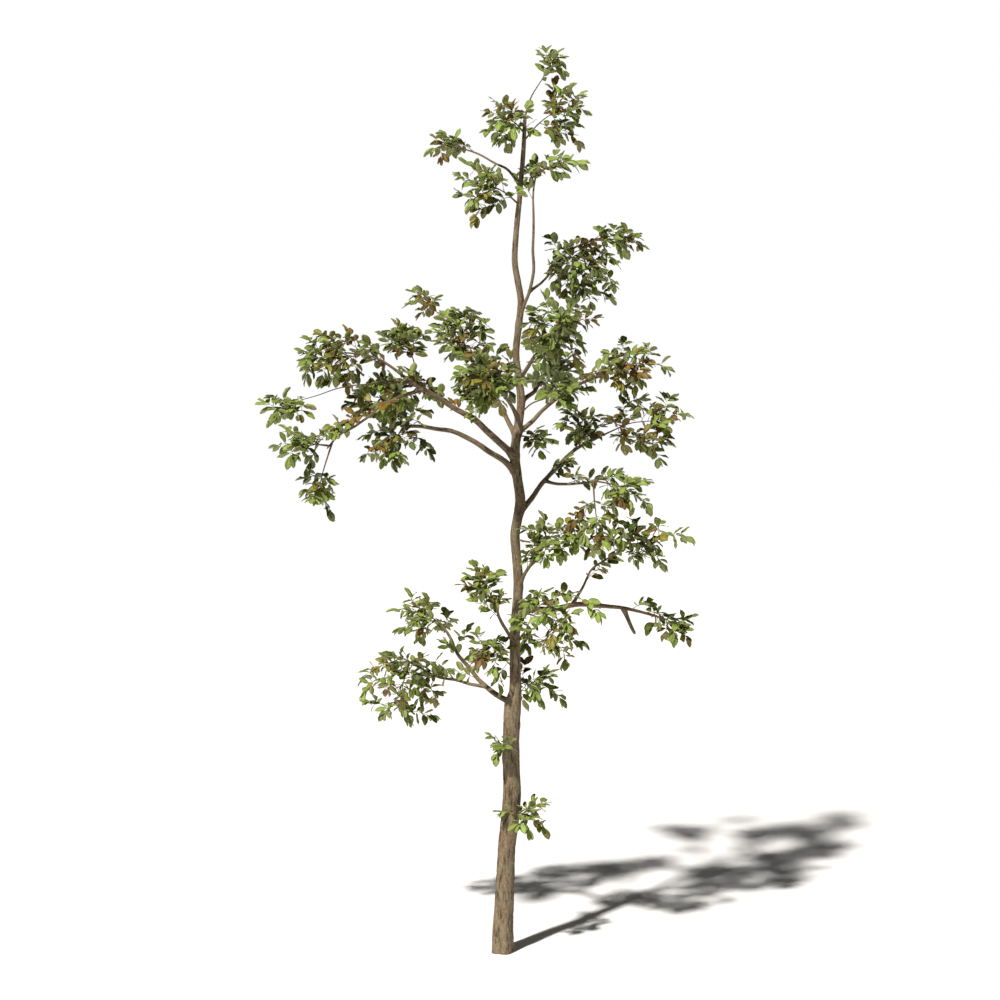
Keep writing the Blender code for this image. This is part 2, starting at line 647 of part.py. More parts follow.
def make_mass(mass, spines, stems, section, group, clearances, walls, finish):
    """One mass of foliage: a stem, its twigs and their leaves fused into one solid."""
    rng = random.Random(mass.name + " leaves")
    stem, stem_radii = stems[mass.name]
    near = [other for other in MASSES if other is not mass and close(mass, other)]
    centre = Vector(mass.centre)
    reach = max(mass.half) + LEAF_LENGTH
    obstacles = []
    for name, (line, radii) in list(spines.items()) + list(stems.items()):
        if name != mass.name:
            obstacles += [s for s in segments(line, radii) if nearest_distance(centre, s[0], s[1]) < reach]

    def fits(point, room):
        return point.z > LOWEST_LEAF and in_own_space(mass, near, point) and clear_of(obstacles, point, room)

    twigs = twig_lines(mass, stem, fits)
    spray = make_collection(mass.name + "_spray")
    curves = [tube_curve(mass.name, stem, stem_radii, group, section=section)]
    for line in twigs:
        curves.append(tube_curve("twig", line, tapered(line, TWIG_THICK, TWIG_TIP), spray, section=section))
    pieces = curves_to_meshes(curves, spray)
    base = pieces[0]
    spray.objects.unlink(base)
    group.objects.link(base)
    choices = leaf_choices(mass, twigs + [stem], rng, fits)
    taken = even_leaves(mass, choices, walls + [surface_tree(piece) for piece in pieces])
    for leaf in taken:
        link("leaf", leaf_mesh(leaf.length), spray).matrix_world = leaf.matrix
    fuse = base.modifiers.new("spray", "BOOLEAN")
    fuse.operation = "UNION"
    fuse.operand_type = "COLLECTION"
    fuse.collection = spray
    bpy.context.view_layer.update()
    apply_modifiers(base)
    for thing in list(spray.objects):
        bpy.data.objects.remove(thing)
    bpy.data.collections.remove(spray)
    cut_by(base, clearances[mass.carrier])
    bpy.context.view_layer.update()
    apply_modifiers(base)
    keep_main_body(base)
    base.data.materials.clear()
    base.data.materials.append(finish)
    return len(taken)


def close(mass, other):
    return all(abs(a - b) < g + h for a, b, g, h in zip(mass.centre, other.centre, mass.half, other.half))


def main():
    clear_scene()
    tree = make_collection("velvet_bushwillow")
    cutters = make_collection("cutters")
    finishes = make_finishes()
    spines = limb_spines()
    make_trunk(spines, tree, finishes["trunk_bark"])
    clearances = make_boughs(spines, tree, cutters, finishes["bough_bark"])
    stems = {}
    for mass in MASSES:
        line = stem_line(mass, spines)
        stems[mass.name] = (line, tapered(line, STEM_THICK, STEM_TIP))
    section = three_sided_section(cutters)
    walls = [surface_tree(clearance) for clearance in clearances.values()]
    leaves = 0
    for mass in MASSES:
        finish = finishes["leaves_" + mass.tint]
        placed = make_mass(mass, spines, stems, section, tree, clearances, walls, finish)
        print(f"{mass.name}: {placed} of {leaf_count(mass)} leaves")
        leaves += placed
    print(f"{len(tree.objects)} solids, {leaves} leaves")


main()
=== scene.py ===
# Velvet bushwillow: a young, open-grown tree about 7 m tall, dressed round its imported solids.
# Metres, z up, x to the tree's right and y to its back. The camera stands in front of it.

import json
import math
import random
from collections import namedtuple

import bpy
import numpy as np
from mathutils import Matrix, Vector, kdtree, noise

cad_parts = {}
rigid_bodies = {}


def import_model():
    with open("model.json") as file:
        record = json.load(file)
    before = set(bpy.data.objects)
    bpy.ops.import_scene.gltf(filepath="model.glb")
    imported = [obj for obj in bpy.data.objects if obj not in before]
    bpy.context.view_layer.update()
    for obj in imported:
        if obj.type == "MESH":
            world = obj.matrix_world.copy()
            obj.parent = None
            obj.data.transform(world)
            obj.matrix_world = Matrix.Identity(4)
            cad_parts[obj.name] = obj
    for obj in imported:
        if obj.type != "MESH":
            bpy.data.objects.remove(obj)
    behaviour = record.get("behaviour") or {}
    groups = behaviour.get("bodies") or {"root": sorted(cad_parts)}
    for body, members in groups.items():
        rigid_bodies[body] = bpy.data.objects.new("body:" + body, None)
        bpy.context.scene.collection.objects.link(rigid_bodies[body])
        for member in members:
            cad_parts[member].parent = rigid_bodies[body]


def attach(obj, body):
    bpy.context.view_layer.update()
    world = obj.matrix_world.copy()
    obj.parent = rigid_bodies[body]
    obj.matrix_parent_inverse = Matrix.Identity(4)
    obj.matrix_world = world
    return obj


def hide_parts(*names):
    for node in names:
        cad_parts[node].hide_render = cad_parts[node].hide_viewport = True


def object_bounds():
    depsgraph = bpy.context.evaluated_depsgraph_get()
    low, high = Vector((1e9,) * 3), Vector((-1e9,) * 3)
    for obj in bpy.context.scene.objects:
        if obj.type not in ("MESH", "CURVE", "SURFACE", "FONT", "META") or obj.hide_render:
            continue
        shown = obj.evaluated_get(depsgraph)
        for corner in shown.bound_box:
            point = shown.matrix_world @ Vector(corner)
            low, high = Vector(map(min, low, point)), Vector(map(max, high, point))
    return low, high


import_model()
cadLow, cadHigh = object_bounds()
up = Vector((0, 0, 1))


# Lines that limbs, stems and twigs follow

limbRule = {
    "curveSteps": 6,  # short steps between two points of a smooth line
    "trunkSteps": 2,
    "boughStep": 0.15,
    "boughCrook": 0.014,
    "leastCrook": 0.4,  # of the full crook, at every inner point
    "sink": 0.03,  # how far a stem's foot lies inside its bough's tip
    "stemStep": 0.16,
    "stemCrook": 0.012,
    "stemLift": 0.05,
    "stemShortOfEdge": 0.165,
    "spotStep": 0.02,  # between the points that stand for the bark when leaves keep off it
}


def smoothLine(points, steps):
    ends = [points[0] * 2 - points[1]] + points + [points[-1] * 2 - points[-2]]
    line = []
    for a, b, c, d in zip(ends, ends[1:], ends[2:], ends[3:]):
        for k in range(steps):
            t = k / steps
            bend = a * 2 - b * 5 + c * 4 - d
            twist = b * 3 - a - c * 3 + d
            line.append((b * 2 + (c - a) * t + bend * t**2 + twist * t**3) / 2)
    line.append(points[-1])
    return line


def lengthOf(line):
    return sum((b - a).length for a, b in zip(line, line[1:]))


def along(line, share):
    left = share * lengthOf(line)
    for a, b in zip(line, line[1:]):
        length = (b - a).length
        if left <= length:
            return a.lerp(b, left / length)
        left -= length
    return line[-1].copy()


def spaced(line, step):
    count = max(2, round(lengthOf(line) / step))
    return [along(line, k / count) for k in range(count + 1)]


def crooked(line, amount, rng):
    # inner points set off to one side and the other, as the shoots once grew
    bent = [line[0]]
    for before, point, after in zip(line, line[1:], line[2:]):
        ahead = (after - before).normalized()
        side = ahead.orthogonal()
        side.rotate(Matrix.Rotation(rng.uniform(0, math.tau), 3, ahead))
        bent.append(point + side * amount * rng.uniform(limbRule["leastCrook"], 1.0))
    bent.append(line[-1])
    return bent


def bowed(start, tip, bow, sway, step):
    # lifted by bow and moved aside by sway at one and two thirds of the way
    aside = (tip - start).cross(up).normalized()
    upward = aside.cross(tip - start).normalized()
    points = [start]
    for share, lift, shift in zip((1 / 3, 2 / 3), bow, sway):
        points.append(start.lerp(tip, share) + upward * lift + aside * shift)
    points.append(tip)
    return spaced(smoothLine(points, limbRule["curveSteps"]), step)


def tapered(line, thick, thin):
    last = len(line) - 1
    return [(thick + (thin - thick) * k / last) / 2 for k in range(last + 1)]


# Trunk stations: height, lean to the right, lean to the back, diameter
trunkStations = [
    (0, 0.000, 0.000, 0.158),
    (0.20, 0.000, 0.000, 0.156),
    (0.42, 0.012, 0.004, 0.146),
    (0.80, 0.028, 0.014, 0.136),
    (1.20, 0.068, 0.010, 0.136),
    (1.60, 0.060, -0.006, 0.128),
    (1.90, 0.074, -0.014, 0.126),
    (2.06, 0.096, -0.010, 0.092),
    (2.45, 0.092, 0.012, 0.080),
    (2.86, 0.119, 0.016, 0.075),
    (3.24, 0.093, 0.000, 0.073),
    (3.50, 0.133, -0.014, 0.076),
    (3.86, 0.091, -0.004, 0.070),
    (4.26, 0.138, 0.014, 0.061),
    (4.63, 0.099, 0.010, 0.052),
    (5.02, 0.137, -0.006, 0.051),
    (5.34, 0.089, -0.010, 0.046),
    (5.82, 0.127, 0.006, 0.039),
    (6.17, 0.155, 0.004, 0.034),
    (6.44, 0.167, 0.000, 0.026),
]

# A bough leaves its parent at a height on the trunk, or at a share of its parent bough's length,
# and ends at its tip. Thick is its diameter at its start and at its tip.
boughRow = namedtuple("boughRow", "name parent at tip bow sway thick")
boughs = [boughRow(*row) for row in [
    ("low_left_bough", "trunk", 1.94, (-0.50, 0.74, 2.48), (-0.09, -0.10), (0, 0.02), (0.046, 0.019)),
    ("low_left_spur", "low_left_bough", 0.32, (-0.77, 0.70, 2.18),
     (-0.03, -0.04), (0.02, 0), (0.027, 0.014)),
    ("low_front_bough", "trunk", 2.36, (-0.14, -0.40, 2.83), (0.03, 0.04), (0.02, 0), (0.030, 0.015)),
    ("right_low_bough", "trunk", 2.64, (1.22, 0.35, 2.57), (0.06, 0.08), (0, 0.02), (0.052, 0.020)),
    ("right_low_riser", "right_low_bough", 0.38, (0.82, 0.36, 3.03),
     (0.02, 0.05), (0.02, 0), (0.024, 0.014)),
    ("right_knee_bough", "trunk", 2.80, (0.31, -0.21, 3.17), (0.02, 0.02), (0.02, -0.02), (0.030, 0.020)),
    ("right_main_bough", "trunk", 3.41, (0.74, 0.30, 3.98), (0.04, 0.06), (0, 0.03), (0.044, 0.021)),
    ("right_main_branch", "right_main_bough", 0.36, (0.72, -0.25, 3.67),
     (-0.03, -0.04), (0, 0.02), (0.025, 0.014)),
    ("right_upper_bough", "trunk", 4.02, (0.90, 0.38, 4.54), (0.04, 0.04), (-0.02, 0.02), (0.036, 0.017)),
    ("right_rising_bough", "trunk", 4.42, (0.42, -0.42, 4.76), (0.02, 0.02), (0.02, 0), (0.034, 0.019)),
    ("left_low_bough", "trunk", 3.71, (-0.77, -0.36, 4.08), (0.10, 0.10), (0, 0.02), (0.048, 0.024)),
    ("left_main_bough", "trunk", 3.84, (-0.71, -0.50, 4.42), (0.04, 0.04), (-0.02, 0), (0.054, 0.030)),
    ("left_high_limb", "left_main_bough", 0.97, (-1.04, -0.60, 4.62),
     (0.01, 0.02), (0, 0.01), (0.025, 0.014)),
    ("left_falling_limb", "left_main_bough", 0.86, (-1.27, -1.00, 3.93),
     (0.06, 0.05), (0, -0.02), (0.027, 0.013)),
    ("back_left_bough", "trunk", 3.99, (-0.30, 0.72, 4.64), (0.05, 0.06), (-0.02, 0), (0.042, 0.021)),
    ("front_bough", "trunk", 4.12, (-0.05, -0.60, 4.37), (0.04, 0.05), (0.03, 0.02), (0.034, 0.019)),
    ("back_bough", "trunk", 4.26, (0.39, 0.80, 4.39), (0.05, 0.05), (0.02, 0.03), (0.036, 0.018)),
    ("second_stem", "trunk", 4.82, (0.26, -0.02, 6.02), (-0.08, -0.02), (0.02, 0.02), (0.030, 0.012)),
    ("second_stem_branch", "second_stem", 0.24, (0.52, 0.42, 5.45), (-0.03, 0), (0, 0.02), (0.022, 0.014)),
    ("top_left_bough", "trunk", 5.90, (-0.33, 0.27, 6.22), (0.05, 0.03), (0, 0.02), (0.022, 0.012)),
    ("right_low_stub", "right_low_bough", 0.74, (1.03, 0.22, 2.45), (0, 0), (0, 0), (0.034, 0.026)),
]]
brokenStub = "right_low_stub"  # part of its bough's solid

# A mass of foliage keeps to an ellipsoid round its centre, on a stem from its carrier
massRow = namedtuple("massRow", "name carrier at centre half tint")
# Masses that lie behind, in the crown's shade, take the tint with most Shade leaves: painted shade
masses = [massRow(*row) for row in [
    ("crown_tip", "trunk", 6.42, (0.38, 0.08, 6.86), (0.13, 0.14, 0.14), "fresh"),
    ("crown_right", "trunk", 6.24, (0.48, 0.20, 6.50), (0.16, 0.28, 0.31), "tinted"),
    ("crown_right_low", "second_stem", 1.00, (0.43, -0.10, 6.06), (0.24, 0.22, 0.11), "fresh"),
    ("crown_left_high", "trunk", 6.30, (0.04, -0.14, 6.38), (0.21, 0.22, 0.22), "fresh"),
    ("crown_left_tip", "top_left_bough", 1.00, (-0.46, 0.31, 6.24), (0.13, 0.14, 0.13), "tinted"),
    ("crown_left_low", "trunk", 5.76, (-0.14, -0.12, 5.88), (0.25, 0.24, 0.26), "tinted"),
    ("upper_right_arm", "second_stem_branch", 1.00, (0.93, 0.60, 5.54), (0.27, 0.22, 0.12), "tinted"),
    ("upper_right_body", "second_stem_branch", 0.90, (0.62, 0.33, 5.26), (0.29, 0.28, 0.25), "dark"),
    ("upper_right_low", "right_rising_bough", 1.00, (0.41, -0.48, 4.80), (0.28, 0.28, 0.28), "dark"),
    ("left_high_tip", "back_left_bough", 0.90, (-0.64, 0.84, 5.07), (0.14, 0.16, 0.15), "fresh"),
    ("left_high", "back_left_bough", 1.00, (-0.33, 0.80, 4.81), (0.24, 0.30, 0.22), "dark"),
    ("left_dense", "front_bough", 1.00, (-0.13, -0.76, 4.43), (0.24, 0.28, 0.23), "tinted"),
    ("left_mid_high", "left_main_bough", 0.93, (-0.74, -0.44, 4.73), (0.21, 0.20, 0.13), "fresh"),
    ("left_tip_high", "left_high_limb", 1.00, (-1.26, -0.66, 4.59), (0.29, 0.26, 0.22), "tinted"),
    ("left_broad", "left_main_bough", 0.94, (-0.85, -0.38, 4.30), (0.36, 0.28, 0.17), "tinted"),
    ("left_far", "left_main_bough", 1.00, (-1.58, -0.98, 4.23), (0.20, 0.18, 0.13), "fresh"),
    ("left_low_tip", "left_falling_limb", 1.00, (-1.46, -1.14, 3.96), (0.21, 0.20, 0.18), "fresh"),
    ("left_hanging", "left_falling_limb", 0.94, (-1.33, -1.00, 3.64), (0.14, 0.17, 0.21), "fresh"),
    ("left_low_hang", "left_low_bough", 1.00, (-0.82, -0.34, 3.93), (0.40, 0.24, 0.15), "dark"),
    ("right_upper_tip", "right_upper_bough", 1.00, (1.02, 0.42, 4.54), (0.27, 0.28, 0.24), "tinted"),
    ("right_inner", "trunk", 4.16, (0.48, -0.46, 4.34), (0.22, 0.24, 0.12), "fresh"),
    ("right_main", "right_main_bough", 0.93, (0.60, 0.26, 4.08), (0.22, 0.26, 0.16), "dark"),
    ("right_outer", "right_main_bough", 1.00, (1.15, 0.46, 4.08), (0.36, 0.30, 0.26), "tinted"),
    ("right_branch", "right_main_branch", 1.00, (0.93, -0.32, 3.59), (0.21, 0.24, 0.19), "fresh"),
    ("right_branch_fall", "right_main_branch", 0.92, (0.70, -0.28, 3.30), (0.25, 0.22, 0.24), "tinted"),
    ("right_riser", "right_low_riser", 1.00, (1.12, 0.42, 3.15), (0.33, 0.26, 0.19), "dark"),
    ("right_low_tip", "right_low_bough", 1.00, (1.36, 0.36, 2.49), (0.25, 0.18, 0.12), "fresh"),
    ("right_knee", "right_knee_bough", 1.00, (0.40, -0.32, 3.22), (0.31, 0.24, 0.20), "fresh"),
    ("centre_hanging", "trunk", 4.00, (0.29, -0.24, 3.98), (0.13, 0.15, 0.14), "tinted"),
    ("front_low_right", "trunk", 2.60, (0.38, -0.46, 2.61), (0.33, 0.32, 0.27), "tinted"),
    ("low_right", "trunk", 2.08, (0.27, 0.08, 2.08), (0.20, 0.20, 0.25), "fresh"),
    ("low_left_high", "low_left_bough", 1.00, (-0.67, 0.84, 2.53), (0.23, 0.24, 0.21), "fresh"),
    ("low_left_low", "low_left_spur", 1.00, (-0.80, 0.72, 1.96), (0.39, 0.32, 0.27), "tinted"),
    ("low_front_tip", "low_front_bough", 1.00, (-0.13, -0.42, 2.93), (0.15, 0.20, 0.18), "fresh"),
    ("low_side", "trunk", 2.20, (-0.09, -0.12, 2.34), (0.16, 0.22, 0.30), "fresh"),
    ("trunk_sprouts", "trunk", 1.60, (0, -0.12, 1.63), (0.17, 0.16, 0.13), "fresh"),
    ("lowest_sprouts", "trunk", 1.08, (0.17, -0.07, 1.08), (0.24, 0.20, 0.20), "fresh"),
    ("back_mass", "back_bough", 1.00, (0.46, 0.98, 4.48), (0.26, 0.28, 0.24), "dark"),
]]

def trunkLine():
    line = smoothLine([Vector((x, y, z)) for z, x, y, d in trunkStations], limbRule["trunkSteps"])
    girths = smoothLine([Vector((d, 0, z)) for z, x, y, d in trunkStations], limbRule["trunkSteps"])
    return line, [girth.x / 2 for girth in girths]


def startOn(limbs, parent, at):
    line = limbs[parent][0]
    if parent != "trunk":
        return along(line, min(at, 1 - limbRule["sink"] / lengthOf(line)))
    for a, b in zip(line, line[1:]):
        if b.z >= at:
            return a.lerp(b, (at - a.z) / (b.z - a.z))
    return line[-1].copy()


def limbLines():
    limbs = {"trunk": trunkLine()}
    for bough in boughs:
        start = startOn(limbs, bough.parent, bough.at)
        line = bowed(start, Vector(bough.tip), bough.bow, bough.sway, limbRule["boughStep"])
        line = crooked(line, limbRule["boughCrook"], random.Random(bough.name))
        limbs[bough.name] = (line, tapered(line, *bough.thick))
    return limbs


def reachTo(mass, ahead):
    # how far a mass's space reaches from its centre in one direction
    return 1 / math.sqrt(sum((a / h) ** 2 for a, h in zip(ahead, mass.half)))


def stemLine(mass, limbs):
    start = startOn(limbs, mass.carrier, mass.at)
    centre = Vector(mass.centre)
    ahead = (centre - start).normalized()
    tip = centre + ahead * max(0.0, reachTo(mass, ahead) - limbRule["stemShortOfEdge"])
    lift = limbRule["stemLift"] * (tip - start).length
    line = bowed(start, tip, (lift, lift), (0.0, 0.0), limbRule["stemStep"])
    return crooked(line, limbRule["stemCrook"], random.Random(mass.name))


limbs = limbLines()
print("limbs laid out:", len(limbs))


# Finishes

def linear(code):
    # sRGB hex to the linear colour that the shader takes
    parts = [int(code[k:k + 2], 16) / 255 for k in (1, 3, 5)]
    return tuple(p / 12.92 if p <= 0.04045 else ((p + 0.055) / 1.055) ** 2.4 for p in parts) + (1.0,)


def addNode(tree, kind, settings=None):
    # each setting is a property, a plain value for a socket, or the output of another node;
    # a number picks a socket where names repeat
    node = tree.nodes.new(kind)
    for name, value in (settings or {}).items():
        if isinstance(value, bpy.types.NodeSocket):
            tree.links.new(value, node.inputs[name])
        elif isinstance(name, int) or name in node.inputs:
            node.inputs[name].default_value = value
        else:
            setattr(node, name, value)
    return node


def addNoise(tree, place, scale, detail, roughness=0.5):
    settings = {"Vector": place, "Scale": scale, "Detail": detail, "Roughness": roughness}
    return addNode(tree, "ShaderNodeTexNoise", settings).outputs[0]


def addRamp(tree, source, start, end, first=0.0, last=1.0):
    # runs from first to last while the source runs from start to end
    settings = {"Value": source, "From Min": start, "From Max": end, "To Min": first, "To Max": last}
    return addNode(tree, "ShaderNodeMapRange", settings).outputs[0]


def addMix(tree, share, lower, upper):
    settings = {"data_type": "RGBA", 0: share, 6: lower, 7: upper}
    return addNode(tree, "ShaderNodeMix", settings).outputs[2]


def addMath(tree, operation, *values):
    settings = {"operation": operation, **dict(enumerate(values))}
    return addNode(tree, "ShaderNodeMath", settings).outputs[0]


def addScale(tree, place, scale):
    return addNode(tree, "ShaderNodeMapping", {"Scale": scale, "Vector": place}).outputs[0]


def newFinish(name, shaderSettings):
    finish = bpy.data.materials.new(name)
    finish.use_nodes = True
    tree = finish.node_tree
    shader = tree.nodes["Principled BSDF"]
    for socket, value in shaderSettings.items():
        shader.inputs[socket].default_value = value
    return finish, tree, shader


# Old bark: dead cork split into long plates, matt and dry, so it has next to no gloss.
# Plates are about 20 mm wide and 110 mm long, with flakes of 6 mm on them.
barkLook = {
    "plate": "#776a54",
    "flake": "#9c8f75",
    "furrow": "#382c20",
    "rust": "#694d39",
    "plateWidth": 0.020,
    "plateLength": 0.110,
    "flakeSize": 0.006,
    "flakeStretch": 0.3,  # of a flake's scale, along the limb
    "patchSize": 0.160,
    # edges in the noise: from the bottom of a furrow to its rim, and so on
    "furrowEdge": (0.34, 0.50),
    "flakeEdge": (0.50, 0.68),
    "rustEdge": (0.48, 0.66),
    "mostRust": 0.75,
    "flakeRelief": 0.6,  # for the furrows' relief
    "relief": 0.004,
}


def barkFinish(name, look):
    settings = {"Roughness": 0.92, "IOR": 1.45, "Metallic": 0.0, "Specular IOR Level": 0.3}
    finish, tree, shader = newFinish(name, settings)
    place = addNode(tree, "ShaderNodeAttribute", {"attribute_name": "barkPlace"}).outputs["Vector"]
    across = 1 / look["plateWidth"]
    size = 1 / look["flakeSize"]
    plates = addScale(tree, place, (across, across, 1 / look["plateLength"]))
    squash = addScale(tree, place, (size, size, size * look["flakeStretch"]))
    furrows = addNoise(tree, plates, 1.0, 6.0, 0.65)
    flakes = addNoise(tree, squash, 1.0, 4.0, 0.7)
    patches = addNoise(tree, place, 1 / look["patchSize"], 3.0)
    deep = addRamp(tree, furrows, *look["furrowEdge"])
    pale = addRamp(tree, flakes, *look["flakeEdge"])
    warm = addRamp(tree, patches, *look["rustEdge"], last=look["mostRust"])
    ground = addMix(tree, warm, linear(look["plate"]), linear(look["rust"]))
    flaked = addMix(tree, pale, ground, linear(look["flake"]))
    split = addMix(tree, deep, linear(look["furrow"]), flaked)
    tree.links.new(split, shader.inputs["Base Color"])
    height = addMath(tree, "MULTIPLY_ADD", flakes, look["flakeRelief"], furrows)
    bump = addNode(tree, "ShaderNodeBump", {"Strength": 0.9, "Distance": look["relief"], "Height": height})
    tree.links.new(bump.outputs[0], shader.inputs["Normal"])
    return finish


# Leaf blade, velvety: a soft satin face with short hairs that catch light at its edges.
# Side veins stand 1 cm apart, drawn 2 mm wide so that they show, either side of a paler midrib.
leafLook = {
    # upper face, underside, share of the blade that has turned rusty in blotches
    "tints": {
        "Fresh": ("#859a42", "#9ca55e", 0.14),
        "Deep": ("#758739", "#909957", 0.20),
        "Shade": ("#54632a", "#768047", 0.18),
        "Olive": ("#83832f", "#96924f", 0.45),
        "Rust": ("#806c2a", "#92803f", 0.62),
        "Brown": ("#675620", "#7c6b38", 0.52),
    },
    "sheen": (0.05, 0.10),  # upper face, underside
    "darker": 0.72,
    "lighter": 1.45,
    "paler": 0.01,
    "blotch": "#7a4416",
    "blotchSize": 0.022,
    "blotchEdge": 0.68,  # in the noise, for a leaf that hasn't turned
    "blotchGrowth": 0.30,
    "blotchFade": 0.08,
    "mostBlotch": 0.85,
    "veinsPerLeaf": 9.0,
    "veinSlant": 0.7,
    # vein and midrib: from where to where across, and how strong at each
    "vein": (0.0, 0.10, 0.45, 0.0),
    "rib": (0.03, 0.09, 0.9, 0.0),
    "veinRelief": 0.001,
    "mottle": 0.03,
    "mottleEdge": (0.35, 0.65),
}


def leafFinish(name, code, blotched, sheen, look):
    settings = {"Roughness": 0.52, "IOR": 1.42, "Sheen Weight": sheen, "Sheen Roughness": 0.5}
    finish, tree, shader = newFinish(name, settings)
    colour = linear(code)
    darker = tuple(c * look["darker"] for c in colour[:3]) + (1.0,)
    lighter = tuple(min(1.0, c * look["lighter"] + look["paler"]) for c in colour[:3]) + (1.0,)
    place = addNode(tree, "ShaderNodeUVMap", {"uv_map": "leafPlace"}).outputs[0]
    parts = addNode(tree, "ShaderNodeSeparateXYZ", {0: place})
    across = addMath(tree, "ABSOLUTE", parts.outputs[1])
    slant = addMath(tree, "MULTIPLY_ADD", across, -look["veinSlant"] / 2, parts.outputs[0])
    turns = addMath(tree, "MULTIPLY", slant, look["veinsPerLeaf"])
    wave = addMath(tree, "PINGPONG", turns, 0.5)
    vein = addRamp(tree, wave, *look["vein"])
    rib = addRamp(tree, across, *look["rib"])
    lines = addMath(tree, "MAXIMUM", vein, rib)
    spots = addNode(tree, "ShaderNodeTexCoord").outputs["Object"]
    mottle = addNoise(tree, spots, 1 / look["mottle"], 3.0)
    blade = addMix(tree, addRamp(tree, mottle, *look["mottleEdge"]), darker, colour)
    spread = addNoise(tree, spots, 1 / look["blotchSize"], 2.0)
    edge = look["blotchEdge"] - look["blotchGrowth"] * blotched
    rusty = addRamp(tree, spread, edge, edge + look["blotchFade"], last=look["mostBlotch"])
    turned = addMix(tree, rusty, blade, linear(look["blotch"]))
    veined = addMix(tree, lines, turned, lighter)
    tree.links.new(veined, shader.inputs["Base Color"])
    settings = {"Strength": 0.4, "Distance": look["veinRelief"], "invert": True, "Height": lines}
    bump = addNode(tree, "ShaderNodeBump", settings)
    tree.links.new(bump.outputs[0], shader.inputs["Normal"])
    return finish


# Meshes gathered from many small shapes

def newGather():
    return {"points": [], "faces": [], "places": [], "finishes": [], "count": 0}


def addShape(gather, points, faces, places, finishes=None):
    base = gather["count"]
    gather["points"].append(points)
    gather["places"].append(places)
    gather["faces"] += [tuple(base + k for k in face) for face in faces]
    gather["finishes"] += finishes or [0] * len(faces)
    gather["count"] += len(points)


def makePiece(name, gather, finishes, nodes, leafy=False):
    mesh = bpy.data.meshes.new(name)
    mesh.from_pydata(np.concatenate(gather["points"]).tolist(), [], gather["faces"])
    places = np.concatenate(gather["places"])
    if leafy:
        corners = np.zeros(len(mesh.loops), np.int32)
        mesh.loops.foreach_get("vertex_index", corners)
        mesh.uv_layers.new(name="leafPlace").data.foreach_set("uv", places[corners].ravel())
    else:
        stored = mesh.attributes.new("barkPlace", "FLOAT_VECTOR", "POINT")
        stored.data.foreach_set("vector", places.ravel())
    for finish in finishes:
        mesh.materials.append(finish)
    mesh.polygons.foreach_set("material_index", gather["finishes"])
    mesh.shade_smooth()
    mesh.update()
    piece = bpy.data.objects.new(name, mesh)
    bpy.context.scene.collection.objects.link(piece)
    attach(piece, "root")
    if nodes:
        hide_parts(*nodes)
    triangles = sum(len(face) - 2 for face in gather["faces"])
    print(f"{name}: {triangles} triangles")


def smoothPath(line, radii, step):
    # an evenly spaced smooth axis: x, y, z, radius and length so far at every ring
    rings = [Vector((*p, r)) for p, r in zip(line, radii)]
    path = np.array(smoothLine(rings, limbRule["curveSteps"]))
    reach = np.concatenate([[0], np.cumsum(np.linalg.norm(np.diff(path[:, :3], axis=0), axis=1))])
    places = np.linspace(0, reach[-1], max(3, round(reach[-1] / step)) + 1)
    return np.column_stack([np.interp(places, reach, path[:, k]) for k in range(4)] + [places])


def crossDirections(path):
    ahead = np.gradient(path[:, :3], axis=0)
    ahead /= np.linalg.norm(ahead, axis=1)[:, None]
    side = np.array(Vector(ahead[0]).orthogonal())
    sides = []
    for direction in ahead:
        side = side - direction * side.dot(direction)
        side = side / np.linalg.norm(side)
        sides.append(side)
    sides = np.array(sides)
    return sides, np.cross(ahead, sides)


def tubeShape(path, sides, relief=None):
    # rings along the path, closed by a fan at each end, with each point's place on the bark
    first, second = crossDirections(path)
    turns = np.arange(sides) * math.tau / sides
    cosines, sines = np.cos(turns), np.sin(turns)
    flat = cosines[None, :, None] * first[:, None, :] + sines[None, :, None] * second[:, None, :]
    radii = path[:, 3][:, None]
    lengths = np.repeat(path[:, 4][:, None], sides, axis=1)
    places = np.stack([cosines[None, :] * radii, sines[None, :] * radii, lengths], axis=2)
    swell = relief(places, radii) if relief else 0.0
    rings = path[:, None, :3] + flat * (radii + swell)[:, :, None]
    count = len(path)
    points = np.concatenate([rings.reshape(-1, 3), path[:1, :3], path[-1:, :3]])
    ends = np.array([[0, 0, path[0, 4]], [0, 0, path[-1, 4]]])
    faces = []
    for row in range(count - 1):
        low = row * sides
        for k in range(sides):
            after = (k + 1) % sides
            faces.append((low + k, low + after, low + sides + after, low + sides + k))
    start = count * sides
    for k in range(sides):
        after = (k + 1) % sides
        faces.append((start, after, k))
        faces.append((start + 1, start - sides + k, start - sides + after))
    return points, faces, np.concatenate([places.reshape(-1, 3), ends])


# Trunk

trunkLook = {
    "sides": 44,
    "ringStep": 0.013,
    "flareHeight": 0.30,
    "flareReach": 0.016,
    "flareLobes": 5,
    "lobeDepth": 0.3,
    "flareFrom": 0.02,  # points nearer the axis than this keep their place
    "depth": 0.060,  # of the furrows, for the radius
    "seed": 3.0,
    # swellings: at a bough's foot, for the bough's radius, and at a knot, for the trunk's
    "collar": 0.45,
    "collarWidth": 2.0,
    "knots": 16,
    "knotRise": 0.14,
    "knotWidth": 0.42,
    "knotPit": 0.20,
    "pitWidth": 0.45,  # for the swelling round it
    "plainRings": (12, 20),  # without knots, at the foot and at the top
}

# Relief of the bark: width and length of each kind in metres, and its share of the depth
reliefLook = {
    "furrow": (0.024, 0.12),
    "flake": (0.010, 0.03),
    "lump": (0.09, 0.20),
    "grooveWidth": 0.10,
    "flakeShare": 0.35,
    "lumpShare": 1.1,
    "rise": 0.25,
    "leastRadius": 0.008,
}


